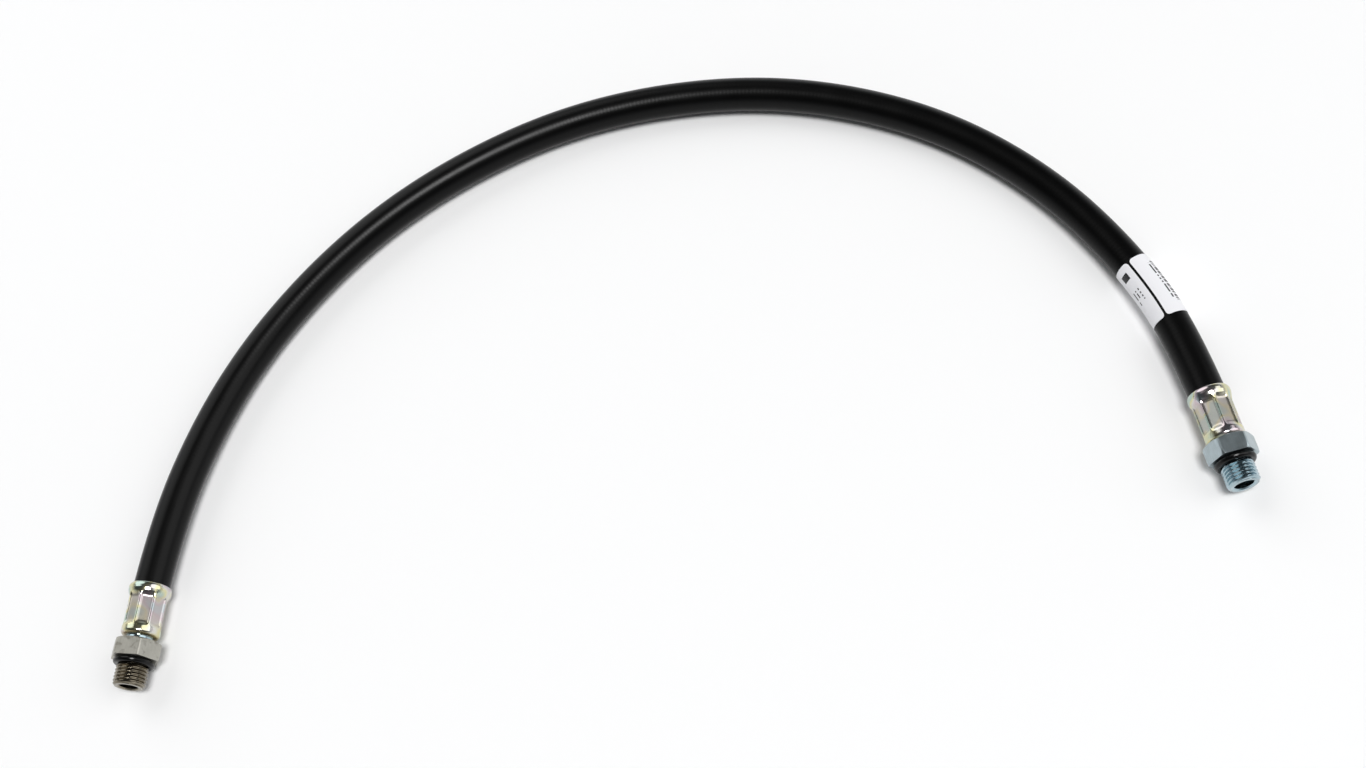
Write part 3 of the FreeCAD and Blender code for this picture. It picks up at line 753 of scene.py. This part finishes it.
def crimp_tree():
    """Presses the flats of the crimping jaws into a ferrule that stands on its own axis."""
    tree, given = rule_tree("crimp", {
        "Panels": "Float", "Floor": "Float", "Skin": "Float", "Start": "Float", "End": "Float",
        "Half width": "Float", "Side": "Float", "Slope": "Float", "Finish": "Material",
    })
    at = node(tree, "GeometryNodeInputPosition")
    x = node(tree, "ShaderNodeSeparateXYZ", {0: at})
    y, z = x.node.outputs[1], x.node.outputs[2]
    level = node(tree, "ShaderNodeCombineXYZ", {0: x, 1: y})
    radius = node(tree, "ShaderNodeVectorMath", {0: level}, out=1, operation="LENGTH")
    angle = node(tree, "ShaderNodeMath", {0: y, 1: x}, operation="ARCTAN2")
    share = node(tree, "ShaderNodeMath", {0: TURN, 1: given["Panels"]}, operation="DIVIDE")
    wrapped = node(tree, "ShaderNodeMath", {0: angle, 1: share, 2: 0.0}, operation="WRAP")
    half = node(tree, "ShaderNodeMath", {0: share, 1: 0.5}, operation="MULTIPLY")
    off = node(tree, "ShaderNodeMath", {0: wrapped, 1: half}, operation="SUBTRACT")
    cosine = node(tree, "ShaderNodeMath", {0: off}, operation="COSINE")
    flat = node(tree, "ShaderNodeMath", {0: given["Floor"], 1: cosine}, operation="DIVIDE")
    sine = node(tree, "ShaderNodeMath", {0: off}, operation="SINE")
    across = node(tree, "ShaderNodeMath", {0: sine, 1: radius}, operation="MULTIPLY")
    wide = node(tree, "ShaderNodeMath", {0: across}, operation="ABSOLUTE")
    past = node(tree, "ShaderNodeMath", {0: wide, 1: given["Half width"]}, operation="SUBTRACT")
    aside = node(tree, "ShaderNodeMath", {0: past, 1: given["Side"]}, operation="DIVIDE")
    aside = node(tree, "ShaderNodeMath", {0: aside, 1: 0.0}, operation="MAXIMUM")
    before = node(tree, "ShaderNodeMath", {0: given["Start"], 1: z}, operation="SUBTRACT")
    after = node(tree, "ShaderNodeMath", {0: z, 1: given["End"]}, operation="SUBTRACT")
    beyond = node(tree, "ShaderNodeMath", {0: before, 1: after}, operation="MAXIMUM")
    along = node(tree, "ShaderNodeMath", {0: beyond, 1: given["Slope"]}, operation="DIVIDE")
    along = node(tree, "ShaderNodeMath", {0: along, 1: 0.0}, operation="MAXIMUM")
    both = node(tree, "ShaderNodeCombineXYZ", {0: aside, 1: along})
    away = node(tree, "ShaderNodeVectorMath", {0: both}, out=1, operation="LENGTH")
    pressed = node(tree, "ShaderNodeMapRange", {"Value": away, "From Max": 1.0, "To Min": 1.0,
                                                "To Max": 0.0}, interpolation_type="SMOOTHSTEP")
    outer = node(tree, "FunctionNodeCompare", {0: radius, 1: given["Skin"]},
                 operation="GREATER_THAN")
    pressed = node(tree, "ShaderNodeMath", {0: pressed, 1: outer}, operation="MULTIPLY")
    ratio = node(tree, "ShaderNodeMath", {0: flat, 1: radius}, operation="DIVIDE")
    scale = node(tree, "ShaderNodeMix", {0: pressed, 2: 1.0, 3: ratio}, data_type="FLOAT")
    stretch = node(tree, "ShaderNodeCombineXYZ", {0: scale, 1: scale, 2: 1.0})
    place = node(tree, "ShaderNodeVectorMath", {0: at, 1: stretch}, operation="MULTIPLY")
    kept = node(tree, "GeometryNodeStoreNamedAttribute", {
        "Geometry": given["Geometry"], "Name": "pressed", "Value": pressed}, data_type="FLOAT")
    moved = node(tree, "GeometryNodeSetPosition", {"Geometry": kept, "Position": place})
    end_tree(tree, moved, given["Finish"])
    return tree


def ferrule(name, cad, tree, matrix, finish):
    """Crimped cup with a rounded bell mouth, pressed flats and a shoulder turned in at its end."""
    slope = [(radius, FERRULE_MOUTH + past) for past, radius in BELL_SLOPE]
    body = stepped(slope + [(FERRULE_RADIUS, FERRULE_END - SHOULDER)], PROFILE_STEP)
    top = slope[0][1]
    lip = arc(BELL_RADIUS - BELL_ROLL, top, BELL_ROLL, -90, 0, BELL_ROLL_STEPS)
    lip = [(r, top + (s - top) * BELL_ROLL_STRETCH) for r, s in lip]
    shoulder = arc(FERRULE_RADIUS - SHOULDER, FERRULE_END - SHOULDER, SHOULDER, 0, 90,
                   SHOULDER_STEPS)
    step = FIT_GAP - COVER_STRIPPED
    section = [(BELL_INNER, FERRULE_MOUTH + FIT_GAP), *lip, *body[1:], *shoulder[1:],
               (LIP_RADIUS, FERRULE_END), (LIP_RADIUS, COLLAR_LENGTH + SEAT_GAP),
               (BRAID_RADIUS, COLLAR_LENGTH + SEAT_GAP), (BRAID_RADIUS, step), (BELL_INNER, step)]
    section.append(section[0])
    mesh = shaped(name, turned(name, section), tree, {
        "Panels": float(PANELS), "Floor": PANEL_FLOOR, "Skin": FERRULE_SKIN,
        "Start": PANEL_START, "End": PANEL_END, "Half width": PANEL_HALF, "Side": PANEL_SIDE,
        "Slope": PANEL_SLOPE, "Finish": finish,
    })
    piece = added(name, closed(mesh, sharp_from=50, moved=matrix))
    fitted(piece, HOSE_BODY, cad)


def flat_reach(angle):
    """Distance from the axis to the hexagon's side at an angle, with its corners broken."""
    off = (angle + math.pi / 6) % (math.pi / 3) - math.pi / 6
    corner = HEX_FLATS / 2 / math.cos(math.pi / 6)
    return min(HEX_FLATS / 2 / math.cos(off), corner - EDGE_BREAK)


def hexagon_rows(start, taper=0.0):
    """Rows of the hexagon: round face, 30 degree chamfer, flats, broken edge at the seat. With a
    taper, the corners are turned down towards the seat by that much."""
    end = start + HEX_LENGTH
    corner = HEX_FLATS / 2 / math.cos(math.pi / 6) - EDGE_BREAK
    rows = [
        (HEX_FACE, start),
        lambda angle: (flat_reach(angle), start + (flat_reach(angle) - HEX_FACE) * HEX_SLOPE),
    ]
    steps = TAPER_STEPS if taper else 1
    for step in range(1, steps + 1):
        cut = corner - taper * step / steps
        low = end - EDGE_BREAK - TAPER_LENGTH * (1 - step / steps)
        rows.append(lambda angle, cut=cut, low=low: (min(flat_reach(angle), cut), low))
    lip = corner - taper - EDGE_BREAK
    rows.append(lambda angle: (min(flat_reach(angle) - EDGE_BREAK, lip), end))
    return rows


def stud_rows(start):
    """Rows from the seat of the hexagon to the start of the thread."""
    seat = start + HEX_LENGTH
    return [(RELIEF_RADIUS, seat), (RELIEF_RADIUS, seat + RELIEF_LENGTH),
            (THREAD_ROOT, seat + RELIEF_LENGTH)]


def mouth_rows(start):
    """Rows from the end of the thread over the mouth into the stud's bore."""
    mouth = start + HEX_LENGTH + STUD_LENGTH
    return [(THREAD_ROOT, mouth), (STUD_BORE + MOUTH_BEVEL, mouth),
            (STUD_BORE, mouth - MOUTH_BEVEL), (STUD_BORE, start + HEX_LENGTH - STUD_BORE_INTO_HEX)]


def tail_rows():
    """Rows of the tail in the hose: tip, barbed grooves, collar and lock groove."""
    rows = [(TAIL_BORE, -TAIL_LENGTH), (BORE_RADIUS - TAIL_CHAMFER, -TAIL_LENGTH)]
    first = -TAIL_LENGTH + 2 * TAIL_CHAMFER
    rows.append((BORE_RADIUS, first))
    step = (-first - TAIL_LAND) / TAIL_GROOVES
    for number in range(TAIL_GROOVES):
        land_end = first + number * step + TAIL_LAND
        rows += [(BORE_RADIUS, land_end), (BORE_RADIUS - TAIL_GROOVE, land_end),
                 (BORE_RADIUS, first + (number + 1) * step)]
    return rows + [(BORE_RADIUS, 0), (COLLAR_RADIUS, 0), (COLLAR_RADIUS, COLLAR_LENGTH),
                   (LOCK_RADIUS, COLLAR_LENGTH)]


def thread_tree():
    """Cuts a right-hand thread as a strip that climbs one pitch a turn, and joins it on."""
    tree, given = rule_tree("cut_thread", {
        "Columns": "Int", "Steps": "Int", "Pitch": "Float", "Root": "Float",
        "Crest radius": "Float", "Crest": "Float", "Flank": "Float", "Start": "Float",
        "End": "Float", "Run out": "Float", "Finish": "Material",
    })
    length = node(tree, "ShaderNodeMath", {0: given["End"], 1: given["Start"]},
                  operation="SUBTRACT")
    turns = node(tree, "ShaderNodeMath", {0: length, 1: given["Pitch"]}, operation="DIVIDE")
    turns = node(tree, "ShaderNodeMath", {0: turns, 1: 1.0}, operation="ADD")
    rows = node(tree, "ShaderNodeMath", {0: turns, 1: given["Steps"]}, operation="MULTIPLY")
    rows = node(tree, "ShaderNodeMath", {0: rows}, operation="CEIL")
    high = node(tree, "ShaderNodeMath", {0: rows, 1: 1.0}, operation="ADD")
    wide = node(tree, "ShaderNodeMath", {0: given["Columns"], 1: 1.0}, operation="ADD")
    strip = node(tree, "GeometryNodeMeshGrid", {
        "Size X": 1.0, "Size Y": 1.0, "Vertices X": high, "Vertices Y": wide})
    flat = node(tree, "GeometryNodeInputPosition")
    up = node(tree, "ShaderNodeSeparateXYZ", {0: flat})
    row = node(tree, "ShaderNodeMath", {0: up, 1: 0.5}, operation="ADD")
    turn = node(tree, "ShaderNodeMath", {0: up.node.outputs[1], 1: 0.5}, operation="ADD")
    row = node(tree, "ShaderNodeMath", {0: row, 1: rows}, operation="MULTIPLY")
    climb = node(tree, "ShaderNodeMath", {0: row, 1: given["Steps"]}, operation="DIVIDE")
    phase = node(tree, "ShaderNodeMath", {0: climb}, operation="FRACT")
    climb = node(tree, "ShaderNodeMath", {0: climb, 1: turn}, operation="ADD")
    climb = node(tree, "ShaderNodeMath", {0: climb, 1: 1.0}, operation="SUBTRACT")
    free = node(tree, "ShaderNodeMath", {0: climb, 1: given["Pitch"], 2: given["Start"]},
                operation="MULTIPLY_ADD")
    station = node(tree, "ShaderNodeClamp", {0: free, 1: given["Start"], 2: given["End"]})
    middle = node(tree, "ShaderNodeMath", {0: phase, 1: 0.5}, operation="SUBTRACT")
    middle = node(tree, "ShaderNodeMath", {0: middle}, operation="ABSOLUTE")
    aside = node(tree, "ShaderNodeMath", {0: middle, 1: given["Pitch"]}, operation="MULTIPLY")
    crest = node(tree, "ShaderNodeMath", {0: given["Crest"], 1: 0.5}, operation="MULTIPLY")
    aside = node(tree, "ShaderNodeMath", {0: aside, 1: crest}, operation="SUBTRACT")
    aside = node(tree, "ShaderNodeMath", {0: aside, 1: 0.0}, operation="MAXIMUM")
    flank = node(tree, "ShaderNodeMath", {0: aside, 1: given["Flank"]}, operation="MULTIPLY")
    shape = node(tree, "ShaderNodeMath", {0: given["Crest radius"], 1: flank}, operation="SUBTRACT")
    shape = node(tree, "ShaderNodeMath", {0: shape, 1: given["Root"]}, operation="MAXIMUM")
    left = node(tree, "ShaderNodeMath", {0: given["End"], 1: station}, operation="SUBTRACT")
    passed = node(tree, "ShaderNodeMath", {0: station, 1: given["Start"]}, operation="SUBTRACT")
    passed = node(tree, "ShaderNodeMath", {0: passed, 1: given["Run out"]}, operation="MULTIPLY")
    near = node(tree, "ShaderNodeMath", {0: left, 1: passed}, operation="MINIMUM")
    most = node(tree, "ShaderNodeMath", {0: near, 1: given["Root"]}, operation="ADD")
    radius = node(tree, "ShaderNodeMath", {0: shape, 1: most}, operation="MINIMUM")
    angle = node(tree, "ShaderNodeMath", {0: turn, 1: TURN}, operation="MULTIPLY")
    around = []
    for kind in ("COSINE", "SINE"):
        share = node(tree, "ShaderNodeMath", {0: angle}, operation=kind)
        around.append(node(tree, "ShaderNodeMath", {0: share, 1: radius}, operation="MULTIPLY"))
    place = node(tree, "ShaderNodeCombineXYZ", {0: around[0], 1: around[1], 2: station})
    cut = node(tree, "GeometryNodeSetPosition", {"Geometry": strip, "Position": place})
    both = node(tree, "GeometryNodeJoinGeometry", {0: cut})
    tree.links.new(given["Geometry"], both.node.inputs[0])
    welded = node(tree, "GeometryNodeMergeByDistance", {"Geometry": both, "Distance": WELD})
    end_tree(tree, welded, given["Finish"])
    return tree


def threaded(name, rows, start, tree, matrix, finish):
    """A turned piece whose open section leaves the stretch of the thread to the thread's rule."""
    seat = start + HEX_LENGTH
    mesh = shaped(name, turned(name, rows), tree, {
        "Columns": COLUMNS, "Steps": THREAD_STEPS, "Pitch": THREAD_PITCH, "Root": THREAD_ROOT,
        "Crest radius": THREAD_RADIUS, "Crest": THREAD_CREST, "Flank": THREAD_FLANK,
        "Start": seat + RELIEF_LENGTH, "End": seat + STUD_LENGTH, "Run out": THREAD_RUN_OUT,
        "Finish": finish,
    })
    return added(name, closed(mesh, sharp_from=38, moved=matrix))


def rigid_insert(tree, matrix):
    """Tail, hexagon and threaded stud turned from one bar."""
    start = RIGID_HEX
    rows = mouth_rows(start) + [(TAIL_BORE, start + HEX_LENGTH - STUD_BORE_INTO_HEX)]
    rows += tail_rows() + [(LOCK_RADIUS, start)]
    rows += hexagon_rows(start, CORNER_TAPER) + stud_rows(start)
    piece = threaded("rigid_stud_and_tail", rows, start, tree, matrix, blue_zinc(start))
    fitted(piece, HOSE_BODY, "rigid_end_insert")


def snap_groove(first, last):
    """Half of the round groove that the split ring lies in, between two angles."""
    return arc(SNAP_MIDDLE, SNAP_STATION, SNAP_GROOVE, first, last, SNAP_STEPS)


def swivel_stud(tree, matrix):
    """Hollow hexagon and threaded stud that turns on the spigot."""
    start = SWIVEL_HEX
    groove = snap_groove(SNAP_ANGLE, -SNAP_ANGLE)
    rows = mouth_rows(start) + [(SPIGOT_BORE, CAVITY_END)]
    rows += [(max(r, SPIGOT_BORE), s) for r, s in groove]
    rows += [(SPIGOT_BORE, start + SPIGOT_LEAD), (SPIGOT_BORE + SPIGOT_LEAD, start)]
    rows += hexagon_rows(start) + stud_rows(start)
    piece = threaded("swivel_hexagon_stud", rows, start, tree, matrix, dull_nickel(start))
    fitted(piece, SWIVEL_BODY, "swivel_stud")


def swivel_insert(matrix):
    """Tail like the rigid end's, and the spigot that the hexagon turns on."""
    neck = FERRULE_END + SEAT_GAP
    rows = tail_rows() + [(LOCK_RADIUS, neck), (NECK_RADIUS, neck)]
    rows += snap_groove(SNAP_ANGLE - 180, -SNAP_ANGLE - 180)
    rows += [(NECK_RADIUS, GLAND_START), (GLAND_RADIUS, GLAND_START), (GLAND_RADIUS, GLAND_END),
             (NECK_RADIUS, GLAND_END), (NECK_RADIUS, SPIGOT_END - SPIGOT_BEVEL),
             (NECK_RADIUS - SPIGOT_BEVEL, SPIGOT_END), (TAIL_BORE, SPIGOT_END),
             (TAIL_BORE, -TAIL_LENGTH)]
    mesh = turned("swivel_tail_and_spigot", rows)
    mesh.materials.append(blue_zinc(SWIVEL_HEX))
    piece = added("swivel_tail_and_spigot", closed(mesh, sharp_from=38, moved=matrix))
    fitted(piece, HOSE_BODY, "swivel_end_insert")


def port_ring(name, cad, body, start, matrix, finish):
    """O-ring in the relief groove, with the fine flash line of its mould round the outside."""
    middle = RELIEF_RADIUS + RING_SECTION - RING_STRETCH
    station = start + HEX_LENGTH + RING_GAP + RING_SECTION
    rows = arc(middle, station, RING_SECTION, RING_FLASH_ANGLE, 360 - RING_FLASH_ANGLE, RING_STEPS)
    rows.append((middle + RING_SECTION + RING_FLASH, station))
    rows.append(rows[0])
    mesh = turned(name, rows)
    mesh.materials.append(finish)
    fitted(added(name, closed(mesh, sharp_from=80, moved=matrix)), body, cad)


def end_matrix(end, after):
    """Places a fitting on an end of the hose: z outwards, x up, one flat of the hexagon down."""
    end, after = Vector(end), Vector(after)
    outward, up = (end - after).normalized(), Vector((0, 0, 1))
    axes = Matrix((up, outward.cross(up), outward)).transposed()
    return Matrix.Translation(end) @ axes.to_4x4()


def fittings():
    """Both ends of the assembly."""
    swivel, rigid = end_matrix(ROUTE[0], ROUTE[1]), end_matrix(ROUTE[-1], ROUTE[-2])
    crimp, thread = crimp_tree(), thread_tree()
    plate, rubber = straw_zinc(), seal_rubber()
    ferrule("swivel_crimped_ferrule", "swivel_end_ferrule", crimp, swivel, plate)
    ferrule("rigid_crimped_ferrule", "rigid_end_ferrule", crimp, rigid, plate)
    rigid_insert(thread, rigid)
    swivel_insert(swivel)
    swivel_stud(thread, swivel)
    port_ring("swivel_port_o_ring", "swivel_port_ring", SWIVEL_BODY, SWIVEL_HEX, swivel, rubber)
    port_ring("rigid_port_o_ring", "rigid_port_ring", HOSE_BODY, RIGID_HEX, rigid, rubber)
    for cad, finish in (("swivel_snap_ring", spring_steel()), ("swivel_seal_ring", rubber),
                        ("swivel_backup_ring", sintered_plastic())):
        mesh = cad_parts[cad].data
        mesh.materials.clear()
        mesh.materials.append(finish)


studio()
hose(route_line())
fittings()
